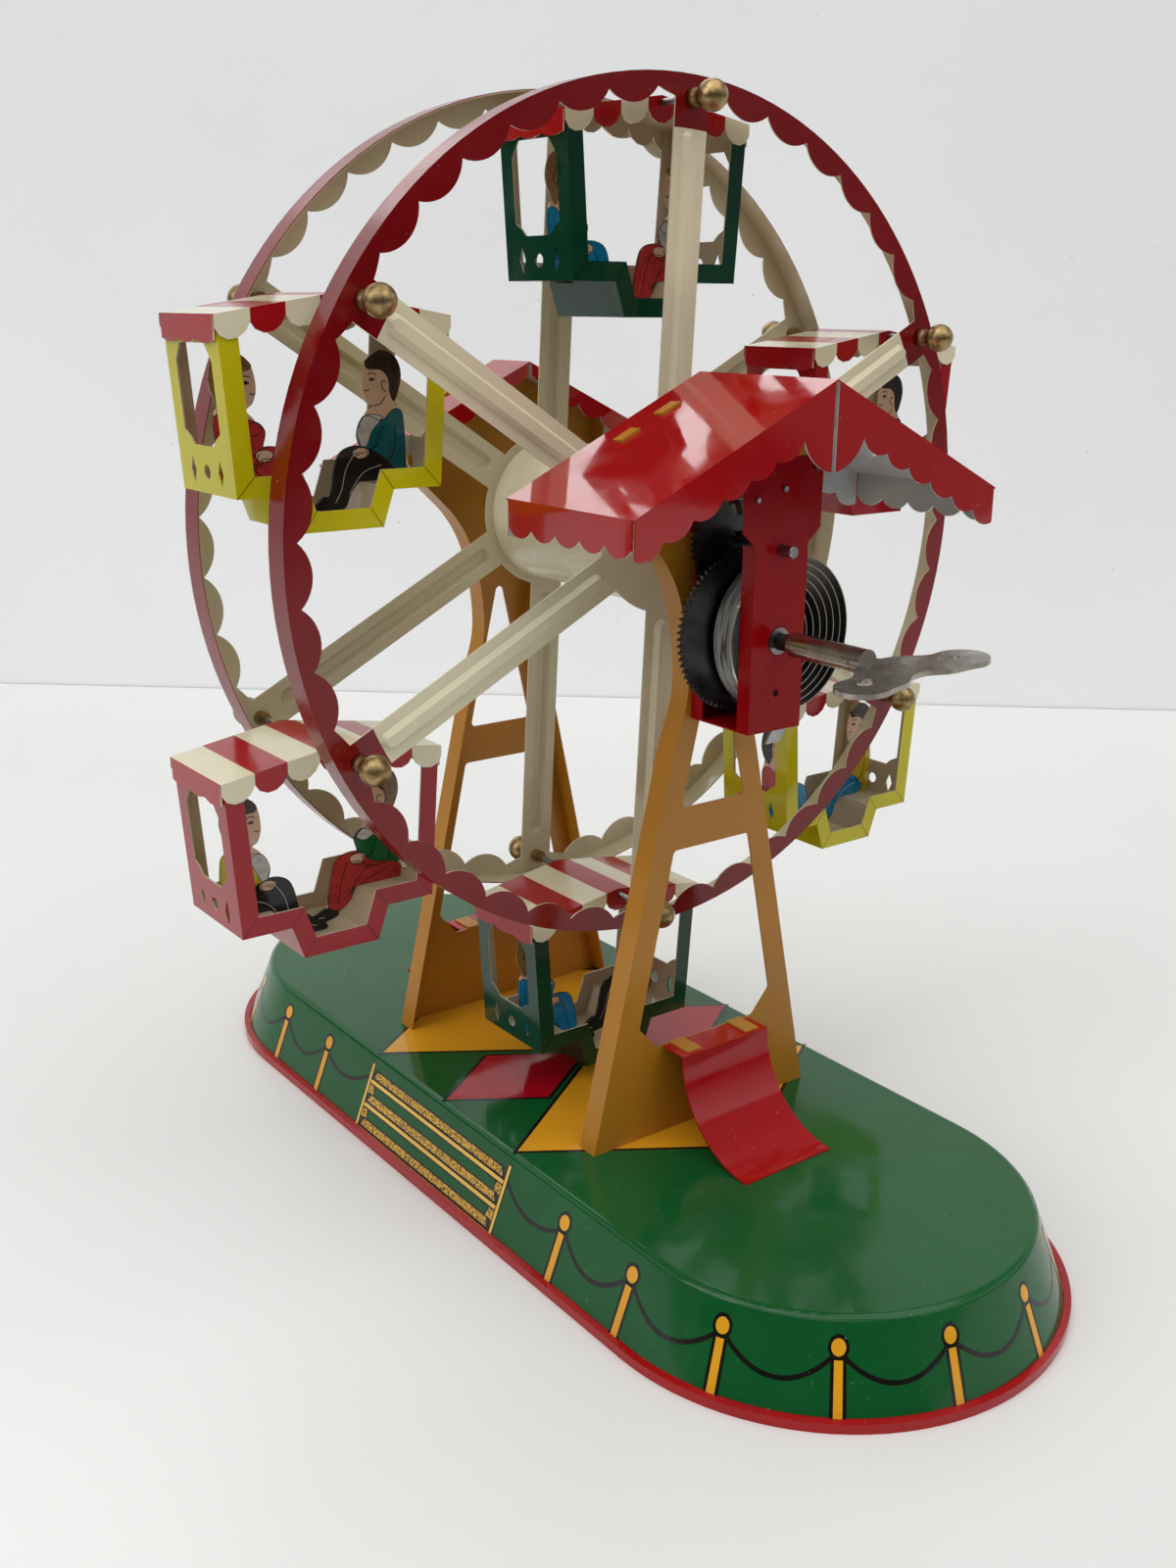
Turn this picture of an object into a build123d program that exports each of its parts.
from build123d import *

import math
import os

# A wind-up tinplate Ferris wheel. Millimetres. +Z is up, the origin is under the
# middle of the base on the surface it stands on, the wheel's axle runs along Y,
# and the clockwork motor with its key is at the -Y end.

os.makedirs("parts", exist_ok=True)

# Sheet metal
TIN = 0.5
FRAME_TIN = 0.6
PLAY = 0.05

# Wheel
WHEEL_Z = 212.5
WHEEL_Y = -2.5
PIVOT_R = 120.0
CARS = 6
FIRST_CAR_ANGLE = 87.3
RIM_R = 126.2
RIM_DEPTH = 8.5
NOTCH_R = 122.3
LOBE_R = 118.2
SPOKE_LOBE_R = 119.4
LOBE_PITCH = 8.06
LOBES_PER_BAY = 6
SIDE_HALF = 30.4
SPOKE_WIDTH = 12.0
RIB_WIDTH = 5.6
RIB_HEIGHT = 1.8
RIB_TAPER = 35
RIB_IN = 27.0
RIB_OUT = 112.0
HUB_PLATE_R = 25.0
HUB_DRUM_R = 22.4
HUB_SLEEVE_R = 22.9
HUB_LAP = 4.0
HUB_SEAM_Y = -10.5
AXLE_R = 1.7
AXLE_FRONT = -87.5
AXLE_REAR = 60.5
ROD_R = 1.0
BALL_R = 4.4
BALL_OUT = 8.5
BALL_NECK_R = 2.7
NUT_R = 2.2
NUT_LENGTH = 4.0
THREAD_DEPTH = 3.0

# Cars, measured from the rod that each one hangs on
CAR_HALF_DEPTH = 16.5
CAR_ROOF_HALF_DEPTH = 17.0
CAR_ROOF_HALF_WIDTH = 34.3
CAR_RIDGE = 2.0
CAR_EAVE = -3.5
CAR_LOBES = 7
CAR_NOTCH = 3.2
CAR_LOBE = 6.8
CAR_HEM = 6.2
CAR_SEAT = -49.0
CAR_FLOOR = -59.0
CAR_BORDER = 5.5
FIGURE_TIN = 0.6
FIGURE_OFFSET = 1.6
FIGURE_TAB_X = 24.0
FIGURE_TAB_WIDTH = 4.0

# Base pan
PAN_STRAIGHT = 110.15
PAN_TOP = 27.1
PAN_TOP_HALF = 62.9
PAN_FOOT_HALF = 73.4
PAN_RIM_HALF = 74.45
PAN_RIM_TOP = 3.0
PAN_EDGE_R = 2.4

# Upright frames
FRAME_FACE = 57.8
FRAME_FLANGE = 7.5
FRAME_FOOT_X = 44.0
FRAME_SHIN = (17.0, 148.0)
FRAME_WAIST = [(11.6, 166.0), (13.0, 188.0), (24.0, 211.0)]
FRAME_HEAD_X = 40.0
FRAME_HEAD_LOW = 226.0
UPPER_WINDOW = [(12.6, 133.5), (0, 188.0)]
LOWER_WINDOW = [(20.0, 57.0), (27.0, 65.0), (15.0, 120.5)]
WINDOW_CORNER_R = 1.6
FOOT_TABS = (-34.0, -24.0, 24.0, 34.0)
FOOT_TAB_WIDTH = 5.0
FOOT_TAB_LENGTH = 2.2
ROOF_TABS = (-34.0, -20.0, 20.0, 34.0)
ROOF_TAB_WIDTH = 7.0
ROOF_TAB_LENGTH = 1.6
ROOF_TAB_REACH = 3.4
BUSH_R = 3.2
BUSH_FLANGE_R = 4.4
BUSH_FLANGE = 0.6

# Ramps
RAMP_HALF = 17.6
RAMP_LEDGE = 57.0
RAMP_R = 29.8
RAMP_FOOT = 97.5
RAMP_TABS = (-12.0, 12.0)
RAMP_TAB_WIDTH = 5.5
RAMP_TAB_END = 66.5

# Big roofs
ROOF_RIDGE = 259.0
ROOF_EAVE_X = 66.9
ROOF_EAVE = 227.4
ROOF_SLOPE = (ROOF_RIDGE - ROOF_EAVE) / ROOF_EAVE_X
ROOF_PITCH = math.degrees(math.atan(ROOF_SLOPE))
FRONT_ROOF = (-100.4, -46.0)
REAR_ROOF = (38.5, 59.5)
GABLE_NOTCHES = (11.0, 20.4, 29.3, 38.5, 48.1, 57.6, 66.4)
GABLE_NOTCH = 10.2
GABLE_LOBE = 12.5
GABLE_POINT = 23.8
GABLE_BULGE = (1.0, -1.6)
GABLE_SLIT = 0.7
REAR_NOTCH = 4.6
REAR_LOBE = 7.0
REAR_POINT = 4.0
ROOF_SLOT = 2.4
EAVE_NOTCH = 7.4
EAVE_LOBE = 10.0
EAVE_LOBE_PITCH = 10.5
CORNER_SLIT = 1.0

# Clockwork
MOTOR_BACK = -58.4
MOTOR_FRONT = -82.5
MOTOR_HALF = 10.0
MOTOR_HEAD_HALF = 14.5
MOTOR_FLANGE = 5.0
MOTOR_FLANGE_TOP = 194.0
MOTOR_NECK = 214.0
MOTOR_SHOULDER = 218.0
MOTOR_BOTTOM = 161.0
MOTOR_TOP = 238.0
SPARE_HOLE_Z = 172.0
SPARE_HOLE_R = 1.1
PILLARS = ((-12.0, 235.0), (12.0, 235.0))
PILLAR_R = 1.3
PILLAR_RIVET = 0.7
CLIP_X = 2.5
CLIP_WIDTH = 5.5
CLIP_OUTLINE = [(-81.5, MOTOR_BOTTOM), (-72.0, MOTOR_BOTTOM), (-72.0, MOTOR_BOTTOM - 0.5),
                (-78.8, MOTOR_BOTTOM - 0.5), (-76.2, 155.4), (-76.8, 155.2),
                (-79.6, MOTOR_BOTTOM - 0.5), (-81.5, MOTOR_BOTTOM - 0.5)]
ARBOR_Z = 187.1
ARBOR_R = 2.3
ARBOR_DRUM_R = 3.0
ARBOR_SQUARE = 3.8
ARBOR_END = -97.0
ESCAPE_Z = 229.3
ESCAPE_R = 0.8
ESCAPE_WHEEL_R = 6.3
ESCAPE_TEETH = 12
PALLET = (-10.0, 226.8)
PALLET_R = 0.7
GREAT_TEETH = 72
AXLE_PINION_TEETH = 10
AXLE_GEAR_TEETH = 48
ESCAPE_PINION_TEETH = 8
GREAT_MODULE = 2 * (WHEEL_Z - ARBOR_Z) / (GREAT_TEETH + AXLE_PINION_TEETH)
ESCAPE_MODULE = 2 * (ESCAPE_Z - WHEEL_Z) / (AXLE_GEAR_TEETH + ESCAPE_PINION_TEETH)
GREAT_GEAR_Y = -65.5
AXLE_GEAR_Y = -61.0
GEAR_THICK = 1.5
RATCHET_Y = -67.3
RATCHET_THICK = 1.0
RATCHET_R = 6.4
RATCHET_TEETH = 14
CLICK_OUTLINE = [(6.6, 3.4), (9.0, -4.2), (12.2, -5.0), (11.6, -1.4), (8.4, 3.2)]
ESCAPE_WHEEL_Y = -72.0
PALLET_Y = -71.5
PALLET_THICK = 2.0
PALLET_OUTLINE = [(-2.2, -2.0), (0, -1.7), (1.4, -5.2), (3.2, -4.6), (1.6, 0), (0.4, 5.0),
                  (-1.4, 5.2), (-1.6, 1.6)]

# Mainspring: half circles whose ends climb evenly along the line at SPRING_Z
SPRING_THICK = 0.3
SPRING_FRONT = -76.5
SPRING_BACK = -68.8
SPRING_Z = 186.5
SPRING_TURNS = 11
SPRING_LEFT = -11.7
SPRING_LEFT_STEP = 0.73
SPRING_RIGHT = 33.7
SPRING_RIGHT_STEP = 2.75
SPRING_TAIL_R = 23.6
SPRING_TAIL_ANGLE = 253.0
POST_R = 1.0

# Key
KEY_R = 3.5
KEY_START = -88.0
KEY_END = -116.5
KEY_SLOT = 1.4
KEY_CHAMFER = 1.0
KEY_TILT = 4.5
BOW_BACK = -112.5
BOW_WING = (18.5, -132.5)
BOW_WING_R = 7.5
BOW_FRONT = -134.5
BOW_HOLE = (15.5, -130.5)


def facing(x, y, z):
    """A plane square to Y at a point: drawn as X and Z, with its normal towards -Y."""
    return Plane((x, y, z), x_dir=(1, 0, 0), z_dir=(0, -1, 0))


def polar(radius, degrees):
    """A point at an angle on a circle round the sketch's origin."""
    angle = math.radians(degrees)
    return (radius * math.cos(angle), radius * math.sin(angle))


def along_y(x, z, y_from, y_to, radius, mode=Mode.ADD):
    """Adds a round bar along Y to the part being built."""
    with Locations(Location((x, (y_from + y_to) / 2, z), (90, 0, 0))):
        Cylinder(radius, abs(y_from - y_to), mode=mode)


def bore_y(x, z, y_from, y_to, radius):
    """Cuts a round hole along Y out of the part being built."""
    along_y(x, z, y_from, y_to, radius, mode=Mode.SUBTRACT)


def both_halves(right):
    """A closed outline from the points of its right half, listed from bottom to top."""
    return right + [(-x, z) for x, z in reversed(right) if x > 0]


def roof_height(x):
    """Height of a big roof's outer surface at x."""
    return ROOF_RIDGE - ROOF_SLOPE * abs(x)


def roof_underside(x):
    """Height of a big roof's inner surface at x."""
    return roof_height(x) - TIN / math.cos(math.radians(ROOF_PITCH))


def car_place(index):
    """Centre of a car's hanging rod, in X and Z, with the wheel at rest."""
    x, z = polar(PIVOT_R, FIRST_CAR_ANGLE + 360 / CARS * index)
    return (x, WHEEL_Z + z)


# ---------------------------------------------------------------- base pan

# One pressing, open underneath: a stadium with sloping walls, standing on its
# rolled edge, with slots in the top for the feet of the two uprights.
with BuildPart() as base_pan:
    with BuildSketch():
        SlotCenterToCenter(2 * PAN_STRAIGHT, 2 * PAN_FOOT_HALF, rotation=90)
    with BuildSketch(Plane.XY.offset(PAN_TOP)):
        SlotCenterToCenter(2 * PAN_STRAIGHT, 2 * PAN_TOP_HALF, rotation=90)
    loft(ruled=True)
    fillet(base_pan.edges().group_by(Axis.Z)[-1], PAN_EDGE_R)
    offset(amount=-FRAME_TIN, openings=base_pan.faces().sort_by(Axis.Z)[0])
    with BuildSketch():
        SlotCenterToCenter(2 * PAN_STRAIGHT, 2 * PAN_RIM_HALF, rotation=90)
        SlotCenterToCenter(2 * PAN_STRAIGHT, 2 * PAN_FOOT_HALF - 2, rotation=90,
                           mode=Mode.SUBTRACT)
    extrude(amount=PAN_RIM_TOP)
    with BuildSketch(Plane.XY.offset(PAN_TOP)):
        for face in (-FRAME_FACE, FRAME_FACE):
            middle = face - math.copysign(FRAME_TIN / 2, face)
            with Locations(*[(x, middle) for x in FOOT_TABS]):
                Rectangle(FOOT_TAB_WIDTH + 2 * PLAY, FRAME_TIN + 2 * PLAY)
    extrude(amount=-PAN_EDGE_R, mode=Mode.SUBTRACT)
base_pan.part.label = "base_pan"
export_step(base_pan.part, "parts/base_pan.step")

# ---------------------------------------------------------------- uprights


def upright_outline(inset, beyond):
    """The outline of an upright, with its sides drawn in and its ends run on."""
    run = (FRAME_FOOT_X - FRAME_SHIN[0]) / (FRAME_SHIN[1] - PAN_TOP)
    foot = (FRAME_FOOT_X + run * beyond - inset, PAN_TOP - beyond)
    shin = (FRAME_SHIN[0] - inset, FRAME_SHIN[1])
    waist = [(x - inset, z) for x, z in FRAME_WAIST]
    head = FRAME_HEAD_X - inset
    with BuildLine() as outline:
        Line(foot, shin)
        Spline(shin, *waist, tangents=[(-run, 1), (1.0, 1.1)])
        Polyline(waist[-1], (head, FRAME_HEAD_LOW), (head, roof_underside(head) + beyond),
                 (0, roof_underside(0) + beyond))
        mirror(about=Plane.YZ)
        Line((-foot[0], foot[1]), foot)
    make_face(outline.edges())


def upright(side, bores):
    """A pressed upright: face, folded flanges, windows, tabs and the bores through it."""
    face = side * FRAME_FACE
    with BuildPart() as frame:
        with BuildSketch(facing(0, face, 0)):
            upright_outline(0, 0)
        extrude(amount=side * FRAME_FLANGE)
        with BuildSketch(facing(0, face - side * FRAME_TIN, 0)):
            upright_outline(FRAME_TIN, 4)
        extrude(amount=side * FRAME_FLANGE, mode=Mode.SUBTRACT)
        with BuildSketch(facing(0, face, 0)) as windows:
            Polygon(*both_halves(UPPER_WINDOW), align=None)
            Polygon(*both_halves(LOWER_WINDOW), align=None)
            fillet(windows.vertices(), WINDOW_CORNER_R)
        extrude(amount=side * FRAME_TIN, mode=Mode.SUBTRACT)
        with BuildSketch(facing(0, face, 0)):
            for x, z, radius in bores:
                with Locations((x, z)):
                    Circle(radius)
        extrude(amount=side * FRAME_TIN, mode=Mode.SUBTRACT)
        with BuildSketch(facing(0, face, 0)):
            with Locations(*[(x, PAN_TOP - FRAME_TIN) for x in FOOT_TABS]):
                Rectangle(FOOT_TAB_WIDTH, FOOT_TAB_LENGTH)
            for x in ROOF_TABS:
                with Locations((x, roof_height(x))):
                    Rectangle(ROOF_TAB_WIDTH, ROOF_TAB_LENGTH,
                              rotation=-math.copysign(ROOF_PITCH, x))
        extrude(amount=side * FRAME_TIN)
        with BuildSketch(facing(0, face, 0)):
            for x in ROOF_TABS:
                lean = math.copysign(math.radians(ROOF_PITCH), x)
                lift = FRAME_TIN / 2
                spot = (x + lift * math.sin(lean), roof_height(x) + lift * math.cos(lean))
                with Locations(spot):
                    Rectangle(ROOF_TAB_WIDTH, FRAME_TIN, rotation=-math.degrees(lean))
        extrude(amount=side * (FRAME_TIN + ROOF_TAB_REACH))
        with BuildSketch(Plane.XY.offset(RAMP_LEDGE)):
            reach = RAMP_TAB_END - FRAME_FACE + FRAME_TIN
            with Locations(*[(x, side * (RAMP_TAB_END - reach / 2)) for x in RAMP_TABS]):
                Rectangle(RAMP_TAB_WIDTH, reach)
        extrude(amount=FRAME_TIN)
    return frame.part


front_upright = upright(-1, [(0, WHEEL_Z, BUSH_R), (0, ARBOR_Z, ARBOR_R + PLAY)])
front_upright.label = "front_upright"
export_step(front_upright, "parts/front_upright.step")

rear_upright = upright(1, [(0, WHEEL_Z, BUSH_R)])
rear_upright.label = "rear_upright"
export_step(rear_upright, "parts/rear_upright.step")

# ---------------------------------------------------------------- ramps


def ramp(side):
    """A bent strip from the foot of an upright down to the base, below its stairs."""
    centre_z = PAN_TOP + RAMP_R + TIN

    def on_bend(radius, height):
        reach = math.sqrt(max(radius ** 2 - (centre_z - height) ** 2, 0))
        return (side * (RAMP_FOOT - reach), height)

    lip = on_bend(RAMP_R, RAMP_LEDGE)
    under = on_bend(RAMP_R + TIN, RAMP_LEDGE - TIN)
    middle = centre_z - RAMP_R / math.sqrt(2)
    with BuildPart() as strip:
        with BuildSketch(Plane.YZ):
            with BuildLine():
                Line((side * FRAME_FACE, RAMP_LEDGE), lip)
                ThreePointArc(lip, on_bend(RAMP_R, middle), on_bend(RAMP_R, PAN_TOP + TIN))
                Line(on_bend(RAMP_R, PAN_TOP + TIN), on_bend(RAMP_R + TIN, PAN_TOP))
                ThreePointArc(on_bend(RAMP_R + TIN, PAN_TOP), on_bend(RAMP_R + TIN, middle), under)
                Polyline(under, (side * FRAME_FACE, RAMP_LEDGE - TIN),
                         (side * FRAME_FACE, RAMP_LEDGE))
            make_face()
        extrude(amount=RAMP_HALF, both=True)
    return strip.part


front_ramp = ramp(-1)
front_ramp.label = "front_ramp"
export_step(front_ramp, "parts/front_ramp.step")

rear_ramp = ramp(1)
rear_ramp.label = "rear_ramp"
export_step(rear_ramp, "parts/rear_ramp.step")

# ---------------------------------------------------------------- big roofs


def gable(y, towards, notch, lobe, point):
    """Adds one scalloped gable board under the two slopes, slit below the ridge."""
    with BuildSketch(facing(0, y, 0)) as board:
        with BuildLine():
            inner, outer = GABLE_NOTCHES[0], GABLE_NOTCHES[-1]
            start = (GABLE_SLIT, ROOF_RIDGE - point)
            first = (inner, roof_height(inner) - notch)
            bulge = ((start[0] + first[0]) / 2 + GABLE_BULGE[0],
                     (start[1] + first[1]) / 2 + GABLE_BULGE[1])
            ThreePointArc(start, bulge, first)
            for near, far in zip(GABLE_NOTCHES, GABLE_NOTCHES[1:]):
                middle = (near + far) / 2
                ThreePointArc((near, roof_height(near) - notch),
                              (middle, roof_height(middle) - lobe),
                              (far, roof_height(far) - notch))
            Polyline((outer, roof_height(outer) - notch), (outer, roof_height(outer)),
                     (GABLE_SLIT, roof_height(GABLE_SLIT)), start)
        make_face()
        mirror(about=Plane.YZ)
    extrude(board.sketch, amount=towards * TIN)


def eave(x, y_from, y_to):
    """Adds one scalloped eave board along Y, with open corners at both ends."""
    near, far = y_from + CORNER_SLIT, y_to - CORNER_SLIT
    count = round((far - near) / EAVE_LOBE_PITCH)
    pitch = (far - near) / count
    with BuildSketch(Plane((x, 0, 0), x_dir=(0, 1, 0), z_dir=(1, 0, 0))) as board:
        with BuildLine():
            for lobe in range(count):
                start = near + lobe * pitch
                ThreePointArc((start, ROOF_EAVE - EAVE_NOTCH),
                              (start + pitch / 2, ROOF_EAVE - EAVE_LOBE),
                              (start + pitch, ROOF_EAVE - EAVE_NOTCH))
            Polyline((far, ROOF_EAVE - EAVE_NOTCH), (far, ROOF_EAVE), (near, ROOF_EAVE),
                     (near, ROOF_EAVE - EAVE_NOTCH))
        make_face()
    extrude(board.sketch, amount=-math.copysign(TIN, x))


def big_roof(span, gables, frame_face):
    """A folded two-slope roof with gable and eave boards and slots for the tabs."""
    with BuildPart() as roof:
        with BuildSketch(facing(0, span[1], 0)):
            with BuildLine():
                drop = roof_height(0) - roof_underside(0)
                Polyline((0, ROOF_RIDGE - drop), (ROOF_EAVE_X, ROOF_EAVE - drop),
                         (ROOF_EAVE_X, ROOF_EAVE), (0, ROOF_RIDGE),
                         (-ROOF_EAVE_X, ROOF_EAVE), (-ROOF_EAVE_X, ROOF_EAVE - drop),
                         close=True)
            make_face()
        extrude(amount=span[1] - span[0])
        for y, towards, notch, lobe, point in gables:
            gable(y, towards, notch, lobe, point)
        for x in (-ROOF_EAVE_X, ROOF_EAVE_X):
            eave(x, *span)
        with BuildSketch(facing(0, frame_face - math.copysign(PLAY, -frame_face), 0)):
            for x in ROOF_TABS:
                with Locations((x, roof_height(x))):
                    Rectangle(ROOF_TAB_WIDTH + 2 * PLAY, ROOF_SLOT,
                              rotation=-math.copysign(ROOF_PITCH, x))
        extrude(amount=math.copysign(FRAME_TIN + 2 * PLAY, frame_face), mode=Mode.SUBTRACT)
    return roof.part


front_roof = big_roof(FRONT_ROOF,
                      [(FRONT_ROOF[0], -1, GABLE_NOTCH, GABLE_LOBE, GABLE_POINT),
                       (FRONT_ROOF[1], 1, GABLE_NOTCH, GABLE_LOBE, GABLE_POINT)],
                      -FRAME_FACE)
front_roof.label = "front_roof"
export_step(front_roof, "parts/front_roof.step")

rear_roof = big_roof(REAR_ROOF,
                     [(REAR_ROOF[0], -1, REAR_NOTCH, REAR_LOBE, REAR_POINT),
                      (REAR_ROOF[1], 1, GABLE_NOTCH, GABLE_LOBE, GABLE_POINT)],
                     FRAME_FACE)
rear_roof.label = "rear_roof"
export_step(rear_roof, "parts/rear_roof.step")

# ---------------------------------------------------------------- motor frame


def motor_plate(y, towards, fold):
    """Adds one plate of the motor frame with its side flanges."""
    with BuildSketch(facing(0, y, 0)) as plate:
        Polygon(*both_halves([(MOTOR_HALF, MOTOR_BOTTOM), (MOTOR_HALF, MOTOR_NECK),
                              (MOTOR_HEAD_HALF, MOTOR_SHOULDER),
                              (MOTOR_HEAD_HALF, MOTOR_TOP)]), align=None)
    extrude(plate.sketch, amount=towards * FRAME_TIN)
    with BuildSketch(facing(0, y, 0)) as flanges:
        for x in (-MOTOR_HALF + FRAME_TIN / 2, MOTOR_HALF - FRAME_TIN / 2):
            with Locations((x, (MOTOR_BOTTOM + fold) / 2)):
                Rectangle(FRAME_TIN, fold - MOTOR_BOTTOM)
    extrude(flanges.sketch, amount=towards * MOTOR_FLANGE)


# A strip bent into a U: one leg lies on the upright, the other carries the front
# pivots, and the bend below them closes the motor from underneath.
with BuildPart() as motor_frame:
    motor_plate(-FRAME_FACE, 1, MOTOR_FLANGE_TOP)
    motor_plate(MOTOR_FRONT, -1, MOTOR_NECK)
    with BuildSketch(Plane.XY.offset(MOTOR_BOTTOM)):
        with Locations((0, (MOTOR_FRONT - FRAME_FACE) / 2)):
            Rectangle(2 * MOTOR_HALF, -FRAME_FACE - MOTOR_FRONT)
    extrude(amount=FRAME_TIN)
    bore_y(0, WHEEL_Z, MOTOR_BACK - 1, -FRAME_FACE + 1, BUSH_R)
    bore_y(0, WHEEL_Z, MOTOR_FRONT - 1, MOTOR_FRONT + 1, AXLE_R + PLAY)
    for x, z, radius in ((0, ARBOR_Z, ARBOR_R), (0, ESCAPE_Z, ESCAPE_R), (*PALLET, PALLET_R)):
        bore_y(x, z, MOTOR_FRONT - 1, -FRAME_FACE + 1, radius + PLAY)
    bore_y(0, SPARE_HOLE_Z, MOTOR_FRONT - 1, MOTOR_FRONT + 1, SPARE_HOLE_R)
    for x, z in PILLARS:
        bore_y(x, z, MOTOR_FRONT - 1, MOTOR_FRONT + 1, PILLAR_R)
motor_frame.part.label = "motor_frame"
export_step(motor_frame.part, "parts/motor_frame.step")

# Two pillars that hold the plates apart, riveted over in front.
with BuildPart() as motor_pillars:
    for x, z in PILLARS:
        along_y(x, z, MOTOR_BACK, MOTOR_FRONT - PILLAR_RIVET, PILLAR_R)
motor_pillars.part.label = "motor_pillars"
export_step(motor_pillars.part, "parts/motor_pillars.step")

# A bare sheet clip bent down below the front edge of the motor frame.
with BuildPart() as motor_clip:
    with BuildSketch(Plane((CLIP_X, 0, 0), x_dir=(0, 1, 0), z_dir=(1, 0, 0))):
        with BuildLine():
            Polyline(*CLIP_OUTLINE, close=True)
        make_face()
    extrude(amount=CLIP_WIDTH)
motor_clip.part.label = "motor_clip"
export_step(motor_clip.part, "parts/motor_clip.step")

# Flanged bushes: the axle's two in the uprights and the light one round the arbor.
with BuildPart() as bushes:
    along_y(0, WHEEL_Z, MOTOR_BACK, -FRAME_FACE + FRAME_TIN, BUSH_R)
    along_y(0, WHEEL_Z, -FRAME_FACE + FRAME_TIN, -FRAME_FACE + 2 * FRAME_TIN, BUSH_FLANGE_R)
    along_y(0, WHEEL_Z, FRAME_FACE - FRAME_TIN, FRAME_FACE, BUSH_R)
    along_y(0, WHEEL_Z, FRAME_FACE, FRAME_FACE + BUSH_FLANGE, BUSH_FLANGE_R)
    bore_y(0, WHEEL_Z, MOTOR_BACK - 1, FRAME_FACE + 2, AXLE_R + PLAY)
    along_y(0, ARBOR_Z, MOTOR_FRONT, MOTOR_FRONT - BUSH_FLANGE, BUSH_FLANGE_R - 0.6)
    bore_y(0, ARBOR_Z, MOTOR_FRONT + 1, MOTOR_FRONT - 2, ARBOR_R + PLAY)
bushes.part.label = "bushes"
export_step(bushes.part, "parts/bushes.step")

# ---------------------------------------------------------------- mainspring


def spring_arcs():
    """The spring's centre line as arcs: centre x, radius, and the half that it runs."""
    arcs = []
    for turn in range(SPRING_TURNS):
        left = SPRING_LEFT + turn * SPRING_LEFT_STEP
        right = SPRING_RIGHT - turn * SPRING_RIGHT_STEP
        inner = left + SPRING_LEFT_STEP
        arcs.append(((left + right) / 2, (right - left) / 2, 1))
        arcs.append(((inner + right) / 2, (right - inner) / 2, -1))
    return arcs


def least_spring_gap():
    """Smallest clear distance between neighbouring turns, measured on points."""
    points = []
    for centre, radius, half in spring_arcs():
        for step in range(0, 180, 6):
            dx, dz = polar(radius, 180 - step if half > 0 else -step)
            points.append((centre + dx, SPRING_Z + dz))
    least = math.inf
    for index, point in enumerate(points):
        for other in points[index + 40:index + 80]:
            least = min(least, math.dist(point, other))
    return least - SPRING_THICK


def spring_edge(shift):
    """One edge of the spring strip, from its tail to its inner end, as arc points."""
    tail_x = SPRING_LEFT + SPRING_TAIL_R
    stretch = []
    ends = [polar(SPRING_TAIL_R + shift, angle)
            for angle in (SPRING_TAIL_ANGLE, (SPRING_TAIL_ANGLE + 180) / 2, 180)]
    stretch.append([(tail_x + x, SPRING_Z + z) for x, z in ends])
    for centre, radius, half in spring_arcs():
        reach = radius + shift
        stretch.append([(centre - half * reach, SPRING_Z), (centre, SPRING_Z + half * reach),
                        (centre + half * reach, SPRING_Z)])
    return stretch


# A flat strip wound off centre: close together on its left, open on its right.
with BuildPart() as mainspring:
    with BuildSketch(facing(0, SPRING_BACK, 0)):
        with BuildLine():
            outer_edge = spring_edge(SPRING_THICK / 2)
            inner_edge = spring_edge(-SPRING_THICK / 2)
            for start, middle, end in outer_edge + inner_edge:
                ThreePointArc(start, middle, end)
            Line(outer_edge[0][0], inner_edge[0][0])
            Line(outer_edge[-1][2], inner_edge[-1][2])
        make_face()
    extrude(amount=SPRING_BACK - SPRING_FRONT)
mainspring.part.label = "mainspring"
export_step(mainspring.part, "parts/mainspring.step")
print("least gap between the mainspring's turns", round(least_spring_gap(), 2))

# The post between the plates that the spring's tail bears on.
post_x, post_z = polar(SPRING_TAIL_R + SPRING_THICK / 2 + POST_R, SPRING_TAIL_ANGLE + 0.5)
with BuildPart() as spring_post:
    along_y(SPRING_LEFT + SPRING_TAIL_R + post_x, SPRING_Z + post_z,
            MOTOR_BACK, MOTOR_FRONT + FRAME_TIN, POST_R)
spring_post.part.label = "spring_post"
export_step(spring_post.part, "parts/spring_post.step")

# ---------------------------------------------------------------- gear train


def gear_teeth(teeth, module, phase):
    """Draws a gear: straight-flanked teeth round a circle, slim enough to run free."""
    pitch = 360 / teeth
    tip_r = module * (teeth / 2 + 0.9)
    root_r = module * (teeth / 2 - 1.15)
    outline = []
    for tooth in range(teeth):
        middle = phase + pitch * tooth
        outline += [polar(root_r, middle - 0.33 * pitch), polar(tip_r, middle - 0.11 * pitch),
                    polar(tip_r, middle + 0.11 * pitch), polar(root_r, middle + 0.33 * pitch)]
    Polygon(*outline, align=None)


def saw_teeth(teeth, tip_r, depth, rake):
    """Draws a wheel of pointed teeth that all lean the same way."""
    pitch = 360 / teeth
    outline = []
    for tooth in range(teeth):
        outline += [polar(tip_r - depth, pitch * tooth), polar(tip_r, pitch * (tooth + rake))]
    Polygon(*outline, align=None)


with BuildPart() as great_gear:
    with BuildSketch(facing(0, GREAT_GEAR_Y, ARBOR_Z)):
        gear_teeth(GREAT_TEETH, GREAT_MODULE, 90)
        Circle(ARBOR_R + PLAY, mode=Mode.SUBTRACT)
    extrude(amount=GEAR_THICK)
great_gear.part.label = "great_gear"
export_step(great_gear.part, "parts/great_gear.step")

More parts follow.
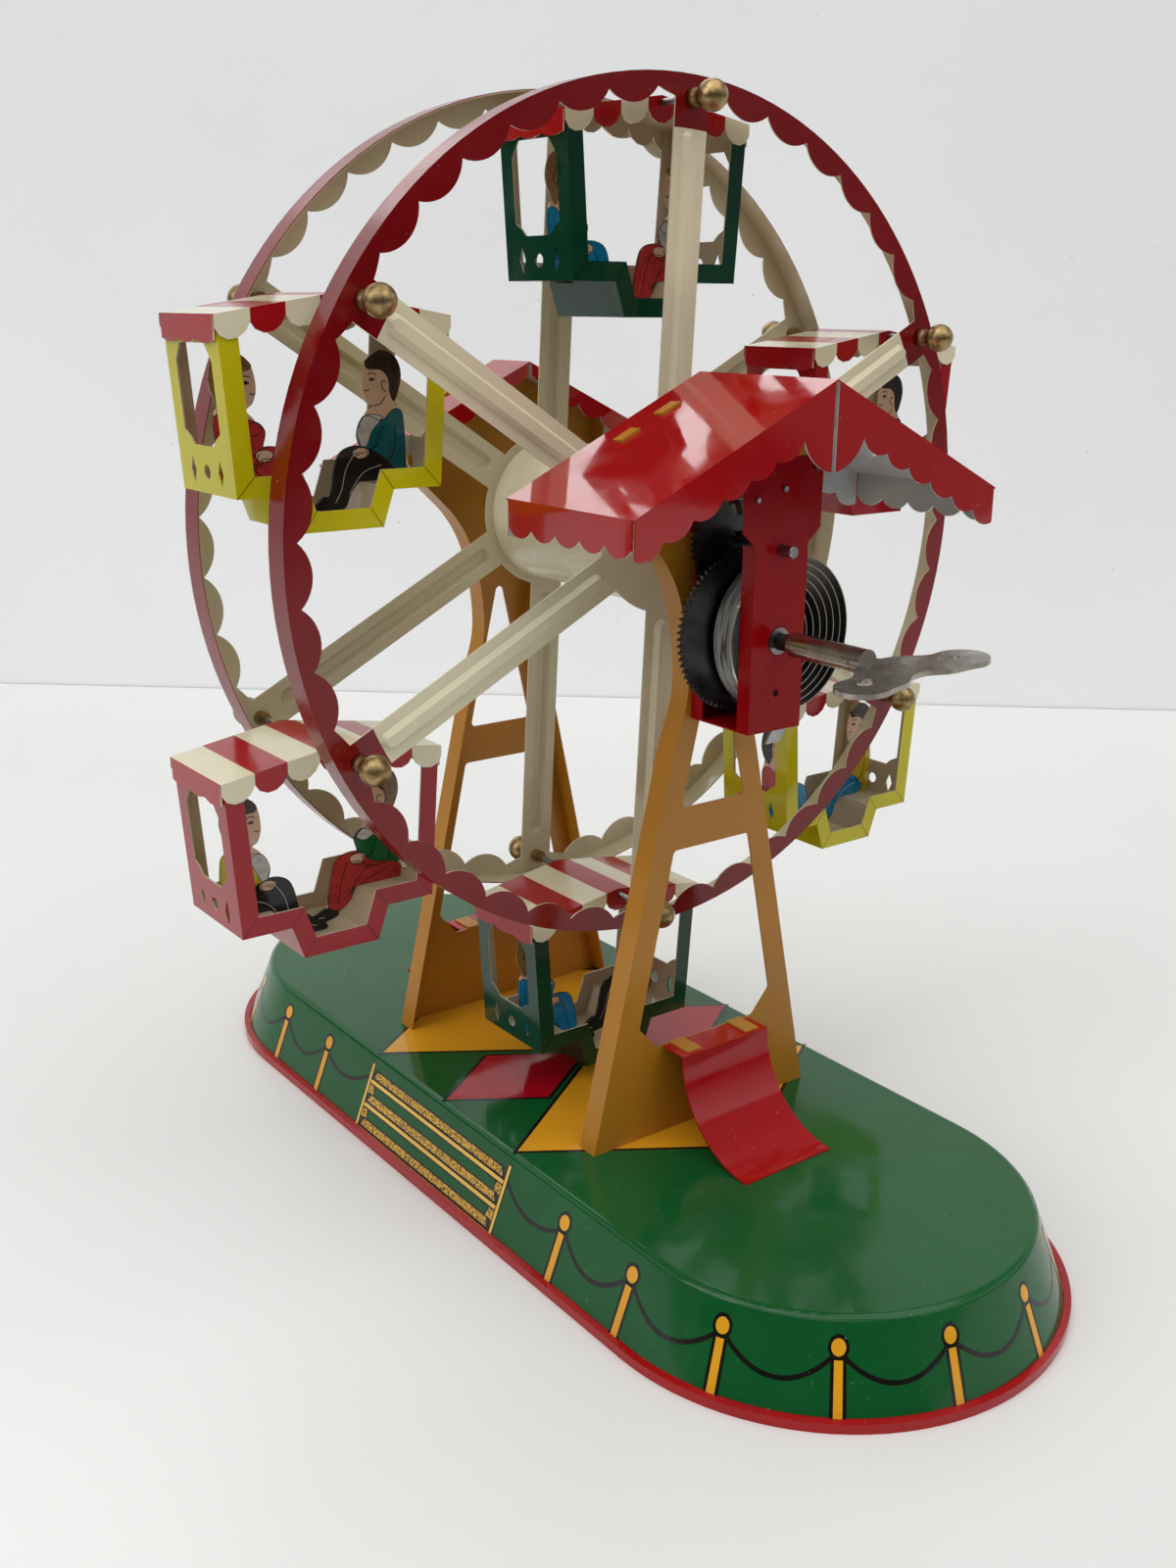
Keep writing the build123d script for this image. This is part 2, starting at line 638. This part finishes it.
# The click: a pawl on the great gear's face that lets the arbor be wound one way.
with BuildPart() as click:
    with BuildSketch(facing(0, GREAT_GEAR_Y - GEAR_THICK, ARBOR_Z)):
        with BuildLine():
            Polyline(*CLICK_OUTLINE, close=True)
        make_face()
    extrude(amount=RATCHET_THICK + 0.3)
click.part.label = "click"
export_step(click.part, "parts/click.step")

with BuildPart() as ratchet_wheel:
    with BuildSketch(facing(0, RATCHET_Y, ARBOR_Z)):
        saw_teeth(RATCHET_TEETH, RATCHET_R, 1.1, 0.9)
        Circle(ARBOR_R, mode=Mode.SUBTRACT)
    extrude(amount=RATCHET_THICK)
ratchet_wheel.part.label = "ratchet_wheel"
export_step(ratchet_wheel.part, "parts/ratchet_wheel.step")

# The winding arbor: pivots, the drum inside the spring, and the square for the key.
with BuildPart() as winding_arbor:
    along_y(0, ARBOR_Z, -FRAME_FACE + 0.2, MOTOR_FRONT - 1.2, ARBOR_R)
    along_y(0, ARBOR_Z, SPRING_BACK, SPRING_FRONT, ARBOR_DRUM_R)
    with BuildSketch(facing(0, MOTOR_FRONT - 1.2, ARBOR_Z)):
        Rectangle(ARBOR_SQUARE, ARBOR_SQUARE, rotation=KEY_TILT)
    extrude(amount=MOTOR_FRONT - 1.2 - ARBOR_END)
winding_arbor.part.label = "winding_arbor"
export_step(winding_arbor.part, "parts/winding_arbor.step")

with BuildPart() as axle_gear:
    with BuildSketch(facing(0, AXLE_GEAR_Y, WHEEL_Z)):
        gear_teeth(AXLE_GEAR_TEETH, ESCAPE_MODULE, 90)
        Circle(AXLE_R, mode=Mode.SUBTRACT)
    extrude(amount=GEAR_THICK)
axle_gear.part.label = "axle_gear"
export_step(axle_gear.part, "parts/axle_gear.step")

with BuildPart() as axle_pinion:
    with BuildSketch(facing(0, GREAT_GEAR_Y + 1, WHEEL_Z)):
        gear_teeth(AXLE_PINION_TEETH, GREAT_MODULE, 270 + 180 / AXLE_PINION_TEETH)
        Circle(AXLE_R, mode=Mode.SUBTRACT)
    extrude(amount=GEAR_THICK + 2)
axle_pinion.part.label = "axle_pinion"
export_step(axle_pinion.part, "parts/axle_pinion.step")

with BuildPart() as escape_arbor:
    along_y(0, ESCAPE_Z, MOTOR_BACK + 0.4, MOTOR_FRONT - 0.8, ESCAPE_R)
    with BuildSketch(facing(0, AXLE_GEAR_Y + 1, ESCAPE_Z)):
        gear_teeth(ESCAPE_PINION_TEETH, ESCAPE_MODULE, 270 + 180 / ESCAPE_PINION_TEETH)
    extrude(amount=GEAR_THICK + 2)
escape_arbor.part.label = "escape_arbor"
export_step(escape_arbor.part, "parts/escape_arbor.step")

with BuildPart() as escape_wheel:
    with BuildSketch(facing(0, ESCAPE_WHEEL_Y, ESCAPE_Z)):
        saw_teeth(ESCAPE_TEETH, ESCAPE_WHEEL_R, 1.8, 0.5)
        Circle(ESCAPE_R, mode=Mode.SUBTRACT)
    extrude(amount=1)
escape_wheel.part.label = "escape_wheel"
export_step(escape_wheel.part, "parts/escape_wheel.step")

# The rocking pallet: an arbor with a two-toed anchor beside the escape wheel.
with BuildPart() as pallet:
    along_y(*PALLET, MOTOR_BACK + 0.4, MOTOR_FRONT - 0.8, PALLET_R)
    with BuildSketch(facing(PALLET[0], PALLET_Y, PALLET[1])):
        with BuildLine():
            Polyline(*PALLET_OUTLINE, close=True)
        make_face()
    extrude(amount=PALLET_THICK)
pallet.part.label = "pallet"
export_step(pallet.part, "parts/pallet.step")

# ---------------------------------------------------------------- key

# The key's tube, rolled round the arbor's square and slit in front for its bow.
with BuildPart() as key_tube:
    along_y(0, ARBOR_Z, KEY_START, KEY_END, KEY_R)
    chamfer(key_tube.edges().filter_by(GeomType.CIRCLE).sort_by(Axis.Y)[-1], KEY_CHAMFER)
    with BuildSketch(facing(0, KEY_START, ARBOR_Z)):
        Rectangle(ARBOR_SQUARE + 2 * PLAY, ARBOR_SQUARE + 2 * PLAY, rotation=KEY_TILT)
    extrude(amount=KEY_START - BOW_BACK - 2, mode=Mode.SUBTRACT)
    with BuildSketch(facing(0, KEY_END, ARBOR_Z)):
        Rectangle(3 * KEY_R, KEY_SLOT, rotation=KEY_TILT)
    extrude(amount=KEY_END - BOW_BACK, mode=Mode.SUBTRACT)
key_tube.part.label = "key_tube"
export_step(key_tube.part, "parts/key_tube.step")

# The bow: one flat plate with two swept wings, each with an oval finger hole.
bow_plane = Plane((0, 0, ARBOR_Z), x_dir=(1, 0, 0), z_dir=(0, 0, 1)).rotated((0, -KEY_TILT, 0))
with BuildPart() as key_bow:
    with BuildSketch(bow_plane.offset(-KEY_SLOT / 2)):
        with BuildLine():
            wing_back = (BOW_WING[0] + BOW_WING_R * math.cos(math.radians(100)),
                         BOW_WING[1] + BOW_WING_R * math.sin(math.radians(100)))
            wing_tip = (BOW_WING[0] + BOW_WING_R, BOW_WING[1])
            wing_front = (BOW_WING[0] + BOW_WING_R * math.cos(math.radians(250)),
                          BOW_WING[1] + BOW_WING_R * math.sin(math.radians(250)))
            Polyline((0, BOW_BACK), (KEY_R - 0.4, BOW_BACK), (KEY_R - 0.4, -118.0))
            Spline((KEY_R - 0.4, -118.0), (10.0, -121.2), wing_back,
                   tangents=[(1, -0.2), polar(1, 10)])
            ThreePointArc(wing_back, wing_tip, wing_front)
            Spline(wing_front, (8.0, -138.2), (0, BOW_FRONT), tangents=[polar(1, 160), (-1, 0)])
            mirror(about=Plane.YZ)
        make_face()
        with Locations(Location((BOW_HOLE[0], BOW_HOLE[1]), -28),
                       Location((-BOW_HOLE[0], BOW_HOLE[1]), 28)):
            SlotOverall(6.4, 3.8, mode=Mode.SUBTRACT)
    extrude(amount=KEY_SLOT)
key_bow.part.label = "key_bow"
export_step(key_bow.part, "parts/key_bow.step")

# ---------------------------------------------------------------- wheel


def wheel_side(side):
    """One pressed side of the wheel: lobed rim, ribbed spokes and hub plate."""
    face = WHEEL_Y + side * SIDE_HALF
    turn = -side

    def plane(inward):
        return Plane((0, face - side * inward, WHEEL_Z), x_dir=(1, 0, 0), z_dir=(0, side, 0))

    def point(radius, degrees):
        return polar(radius, turn * degrees)

    with BuildPart() as pressing:
        with BuildSketch(plane(0)):
            Circle(RIM_R)
            with BuildLine():
                bay = 360 / CARS
                for spoke in range(CARS):
                    middle = FIRST_CAR_ANGLE + bay * (spoke + 0.5)
                    first = middle - LOBE_PITCH * LOBES_PER_BAY / 2
                    for lobe in range(LOBES_PER_BAY):
                        start = first + LOBE_PITCH * lobe
                        ThreePointArc(point(NOTCH_R, start),
                                      point(LOBE_R, start + LOBE_PITCH / 2),
                                      point(NOTCH_R, start + LOBE_PITCH))
                    ThreePointArc(point(NOTCH_R, first + LOBE_PITCH * LOBES_PER_BAY),
                                  point(SPOKE_LOBE_R, middle + bay / 2),
                                  point(NOTCH_R, first + bay))
            make_face(mode=Mode.SUBTRACT)
            for spoke in range(CARS // 2):
                Rectangle(2 * (NOTCH_R - 1), SPOKE_WIDTH,
                          rotation=turn * (FIRST_CAR_ANGLE + bay * spoke))
            Circle(HUB_PLATE_R)
            Circle(AXLE_R, mode=Mode.SUBTRACT)
            with PolarLocations(PIVOT_R, CARS, start_angle=turn * FIRST_CAR_ANGLE):
                Circle(ROD_R, mode=Mode.SUBTRACT)
        extrude(amount=-TIN)
        with BuildSketch(plane(0)):
            Circle(RIM_R)
            Circle(RIM_R - TIN, mode=Mode.SUBTRACT)
        extrude(amount=-RIM_DEPTH)
        rib_middle = (RIB_IN + RIB_OUT) / 2
        with BuildSketch(plane(0)):
            with PolarLocations(rib_middle, CARS, start_angle=turn * FIRST_CAR_ANGLE):
                SlotOverall(RIB_OUT - RIB_IN, RIB_WIDTH)
        extrude(amount=RIB_HEIGHT, taper=RIB_TAPER)
        with BuildSketch(plane(TIN)):
            with PolarLocations(rib_middle, CARS, start_angle=turn * FIRST_CAR_ANGLE):
                SlotOverall(RIB_OUT - RIB_IN - 0.4, RIB_WIDTH - 0.4)
        extrude(amount=RIB_HEIGHT, taper=RIB_TAPER, mode=Mode.SUBTRACT)
    return pressing.part


wheel_side_front = wheel_side(-1)
wheel_side_front.label = "wheel_side_front"
export_step(wheel_side_front, "parts/wheel_side_front.step")

wheel_side_rear = wheel_side(1)
wheel_side_rear.label = "wheel_side_rear"
export_step(wheel_side_rear, "parts/wheel_side_rear.step")

side_inner_front = WHEEL_Y - SIDE_HALF + TIN
side_inner_rear = WHEEL_Y + SIDE_HALF - TIN

# The hub: a rolled drum from the rear side, and a sleeve from the front that laps it.
with BuildPart() as hub_drum:
    along_y(0, WHEEL_Z, side_inner_rear, HUB_SEAM_Y - HUB_LAP, HUB_DRUM_R)
    bore_y(0, WHEEL_Z, side_inner_rear + 1, HUB_SEAM_Y - HUB_LAP - 1, HUB_DRUM_R - TIN)
hub_drum.part.label = "hub_drum"
export_step(hub_drum.part, "parts/hub_drum.step")

with BuildPart() as hub_sleeve:
    along_y(0, WHEEL_Z, HUB_SEAM_Y, side_inner_front, HUB_SLEEVE_R)
    bore_y(0, WHEEL_Z, HUB_SEAM_Y + 1, side_inner_front - 1, HUB_SLEEVE_R - TIN)
hub_sleeve.part.label = "hub_sleeve"
export_step(hub_sleeve.part, "parts/hub_sleeve.step")

with BuildPart() as axle:
    along_y(0, WHEEL_Z, AXLE_REAR, AXLE_FRONT, AXLE_R)
    chamfer(axle.edges().filter_by(GeomType.CIRCLE), 0.3)
axle.part.label = "axle"
export_step(axle.part, "parts/axle.step")

# The six rods that carry the cars, from ball to ball.
with BuildPart() as car_rods:
    for car in range(CARS):
        along_y(*car_place(car), WHEEL_Y + SIDE_HALF + THREAD_DEPTH,
                WHEEL_Y - SIDE_HALF - THREAD_DEPTH, ROD_R)
car_rods.part.label = "car_rods"
export_step(car_rods.part, "parts/car_rods.step")


def ball_nut(x, z, side):
    """Adds a ball nut with its neck against the outer face of one wheel side."""
    face = WHEEL_Y + side * SIDE_HALF
    along_y(x, z, face, face + side * BALL_OUT, BALL_NECK_R)
    with Locations((x, face + side * BALL_OUT, z)):
        Sphere(BALL_R, rotation=(90, 0, 0))
    bore_y(x, z, face, face + side * THREAD_DEPTH, ROD_R)


with BuildPart() as ball_nuts:
    for car in range(CARS):
        for side in (-1, 1):
            ball_nut(*car_place(car), side)
ball_nuts.part.label = "ball_nuts"
export_step(ball_nuts.part, "parts/ball_nuts.step")

# The small domed nuts on the inner faces of the two wheel sides.
with BuildPart() as inner_nuts:
    for car in range(CARS):
        for start, side in ((side_inner_front, 1), (side_inner_rear, -1)):
            x, z = car_place(car)
            along_y(x, z, start, start + side * 0.7 * NUT_LENGTH, NUT_R)
            along_y(x, z, start, start + side * NUT_LENGTH, NUT_R - 0.6)
            bore_y(x, z, start - side, start + side * (NUT_LENGTH + 1), ROD_R)
inner_nuts.part.label = "inner_nuts"
export_step(inner_nuts.part, "parts/inner_nuts.step")

# ---------------------------------------------------------------- cars

CAR_SLOPE = (CAR_RIDGE - CAR_EAVE) / CAR_ROOF_HALF_WIDTH
CAR_ROOF_DROP = TIN * math.hypot(1, CAR_SLOPE)
CAR_PROFILE = [(12.0, CAR_FLOOR), (15.5, CAR_SEAT), (30.5, CAR_SEAT), (34.5, 8.0)]
LOBE_STEPS = 5

# Two seated people pressed from flat sheet, facing the middle of the car. Each is
# drawn from the toe, up the front, over the head and down the back.
MAN = [(2.0, -58.2), (2.4, -56.4), (-1.0, -54.2), (-5.6, -51.4), (-7.6, -43.0), (-10.2, -39.6),
       (-15.4, -38.6), (-14.6, -35.0), (-17.2, -30.6), (-19.6, -28.0), (-17.8, -27.0),
       (-16.6, -22.4), (-18.0, -15.6), (-22.4, -13.0), (-27.2, -14.8), (-29.0, -20.0),
       (-26.8, -26.8), (-29.4, -31.6), (-29.8, -42.0), (-28.6, -48.5), (-14.8, -48.5),
       (-12.0, -51.6), (-7.4, -57.4)]
WOMAN = [(1.4, -58.2), (1.8, -56.0), (-1.6, -54.6), (-5.4, -53.0), (-6.6, -44.0), (-9.0, -38.6),
         (-15.6, -37.4), (-14.8, -33.4), (-17.6, -30.8), (-20.2, -27.8), (-18.0, -26.2),
         (-16.8, -21.6), (-18.6, -15.4), (-23.6, -12.8), (-28.6, -15.0), (-30.0, -20.6),
         (-28.0, -26.2), (-29.2, -31.0), (-28.6, -38.6), (-29.2, -48.5), (-14.8, -48.5),
         (-13.0, -52.0), (-6.6, -57.0)]
SEATED = [(WOMAN, WOMAN), (WOMAN, MAN), (MAN, WOMAN), (WOMAN, MAN), (WOMAN, MAN), (WOMAN, MAN)]
COLOURS = ["green", "yellow", "red", "green", "yellow", "red"]


def car_roof_height(x):
    """Height of a car roof's outer surface above the rod."""
    return CAR_RIDGE - CAR_SLOPE * abs(x)


def scallop(start, end, sag, steps):
    """Points along one hanging lobe from start to end, start left out."""
    width, rise = end[0] - start[0], end[1] - start[1]
    radius = (width ** 2 / 4 + sag ** 2) / (2 * sag)
    sweep = 2 * math.asin(width / 2 / radius)
    points = []
    for step in range(1, steps + 1):
        angle = sweep * (step / steps - 0.5)
        along = width / 2 + radius * math.sin(angle)
        points.append((start[0] + along,
                       start[1] + rise * along / width - radius * math.cos(angle) + radius - sag))
    return points


def car_ring(border):
    """Draws a car's folded strip seen from the end of its rod, as wide as border."""
    Polygon(*both_halves(CAR_PROFILE), align=None)
    offset(amount=-border, kind=Kind.INTERSECTION, mode=Mode.SUBTRACT)
    wide = CAR_ROOF_HALF_WIDTH + 5
    under = car_roof_height(wide) - CAR_ROOF_DROP
    Polygon((-wide, under), (0, CAR_RIDGE - CAR_ROOF_DROP), (wide, under), (wide, 20),
            (-wide, 20), align=None, mode=Mode.SUBTRACT)


def car_body(x, z):
    """A car: end panels, seats and footwell folded from one strip, with its border."""
    front, rear = WHEEL_Y - CAR_HALF_DEPTH, WHEEL_Y + CAR_HALF_DEPTH
    with BuildPart() as body:
        with BuildSketch(facing(x, rear, z)):
            car_ring(TIN)
        extrude(amount=2 * CAR_HALF_DEPTH)
        with BuildSketch(facing(x, rear, z)):
            car_ring(CAR_BORDER)
        extrude(amount=TIN)
        with BuildSketch(facing(x, front + TIN, z)):
            car_ring(CAR_BORDER)
        extrude(amount=TIN)
        with BuildSketch(Plane((x, WHEEL_Y, z), x_dir=(0, 1, 0), z_dir=(1, 0, 0))):
            with BuildLine():
                Polyline(*both_halves([(6.0, -36.5), (8.0, -34.6), (11.0, -33.0),
                                       (11.0, -15.0), (7.6, -10.6)]), close=True)
            make_face()
            with Locations((-8.4, -43.3), (8.4, -43.3)):
                Polygon((0, -3.7), (1.5, 0), (0, 3.7), (-1.5, 0))
            with Locations((0, -43.3)):
                Circle(1.9)
        extrude(amount=CAR_ROOF_HALF_WIDTH, both=True, mode=Mode.SUBTRACT)
        with BuildSketch(Plane.XY.offset(z + CAR_SEAT)):
            for side in (-1, 1):
                with Locations((x + side * FIGURE_TAB_X, WHEEL_Y + side * FIGURE_OFFSET)):
                    Rectangle(FIGURE_TAB_WIDTH + 4 * PLAY, FIGURE_TIN + 4 * PLAY)
        extrude(amount=TIN, mode=Mode.SUBTRACT)
    return body.part


def car_roof(x, z):
    """A car's shallow roof with scalloped flaps over both sides and hems at its ends."""
    front, rear = WHEEL_Y - CAR_ROOF_HALF_DEPTH, WHEEL_Y + CAR_ROOF_HALF_DEPTH
    width = 2 * CAR_ROOF_HALF_WIDTH / CAR_LOBES
    notches = [-CAR_ROOF_HALF_WIDTH + width * lobe for lobe in range(CAR_LOBES + 1)]
    flap = [(notches[0], car_roof_height(notches[0]) - CAR_NOTCH)]
    for near, far in zip(notches, notches[1:]):
        flap += scallop((near, car_roof_height(near) - CAR_NOTCH),
                        (far, car_roof_height(far) - CAR_NOTCH),
                        CAR_LOBE - CAR_NOTCH, LOBE_STEPS)
    top = [(CAR_ROOF_HALF_WIDTH, CAR_EAVE), (0, CAR_RIDGE), (-CAR_ROOF_HALF_WIDTH, CAR_EAVE)]
    hem_half = CAR_ROOF_HALF_DEPTH - 1
    hem = [(-hem_half, CAR_EAVE), (-hem_half, CAR_EAVE - CAR_HEM)]
    for near in (-1, -1 / 3, 1 / 3):
        hem += scallop((near * hem_half, CAR_EAVE - CAR_HEM),
                       ((near + 2 / 3) * hem_half, CAR_EAVE - CAR_HEM), 0.9, 3)
    hem.append((hem_half, CAR_EAVE))
    with BuildPart() as roof:
        with BuildSketch(facing(x, rear, z)):
            with BuildLine():
                Polyline(*top, (-CAR_ROOF_HALF_WIDTH, CAR_EAVE - CAR_ROOF_DROP),
                         (0, CAR_RIDGE - CAR_ROOF_DROP),
                         (CAR_ROOF_HALF_WIDTH, CAR_EAVE - CAR_ROOF_DROP), close=True)
            make_face()
        extrude(amount=2 * CAR_ROOF_HALF_DEPTH)
        for y in (rear, front + TIN):
            with BuildSketch(facing(x, y, z)):
                with BuildLine():
                    Polyline(*flap, *top, close=True)
                make_face()
                Circle(ROD_R + PLAY, mode=Mode.SUBTRACT)
            extrude(amount=TIN)
        for end in (x - CAR_ROOF_HALF_WIDTH, x + CAR_ROOF_HALF_WIDTH - TIN):
            with BuildSketch(Plane((end, WHEEL_Y, z), x_dir=(0, 1, 0), z_dir=(1, 0, 0))):
                with BuildLine():
                    Polyline(*hem, close=True)
                make_face()
            extrude(amount=TIN)
    return roof.part


def car_figure(x, z, side, outline):
    """A seated figure with the tab that holds it, through its seat and bent over."""
    y = WHEEL_Y + side * FIGURE_OFFSET + FIGURE_TIN / 2
    under_seat = CAR_SEAT - FIGURE_TIN
    with BuildPart() as figure:
        with BuildSketch(facing(x, y, z)):
            with BuildLine():
                Polyline(*[(-side * px, pz) for px, pz in outline], close=True)
            make_face()
            with Locations((side * FIGURE_TAB_X, (under_seat + CAR_SEAT + 2 * TIN) / 2)):
                Rectangle(FIGURE_TAB_WIDTH, 2 * TIN + FIGURE_TIN)
        extrude(amount=FIGURE_TIN)
        with BuildSketch(Plane.XY.offset(z + under_seat)):
            with Locations((x + side * FIGURE_TAB_X, y - FIGURE_TIN - 1.2)):
                Rectangle(FIGURE_TAB_WIDTH, 3.0)
        extrude(amount=FIGURE_TIN)
    return figure.part


for index in range(CARS):
    place = car_place(index)
    name = f"{COLOURS[index]}_car_{1 + index // 3}"
    left_outline, right_outline = SEATED[index]
    pieces = {
        f"{name}_body": car_body(*place),
        f"{name}_roof": car_roof(*place),
        f"{name}_left_figure": car_figure(*place, -1, left_outline),
        f"{name}_right_figure": car_figure(*place, 1, right_outline),
    }
    for label, piece in pieces.items():
        piece.label = label
        export_step(piece, f"parts/{label}.step")
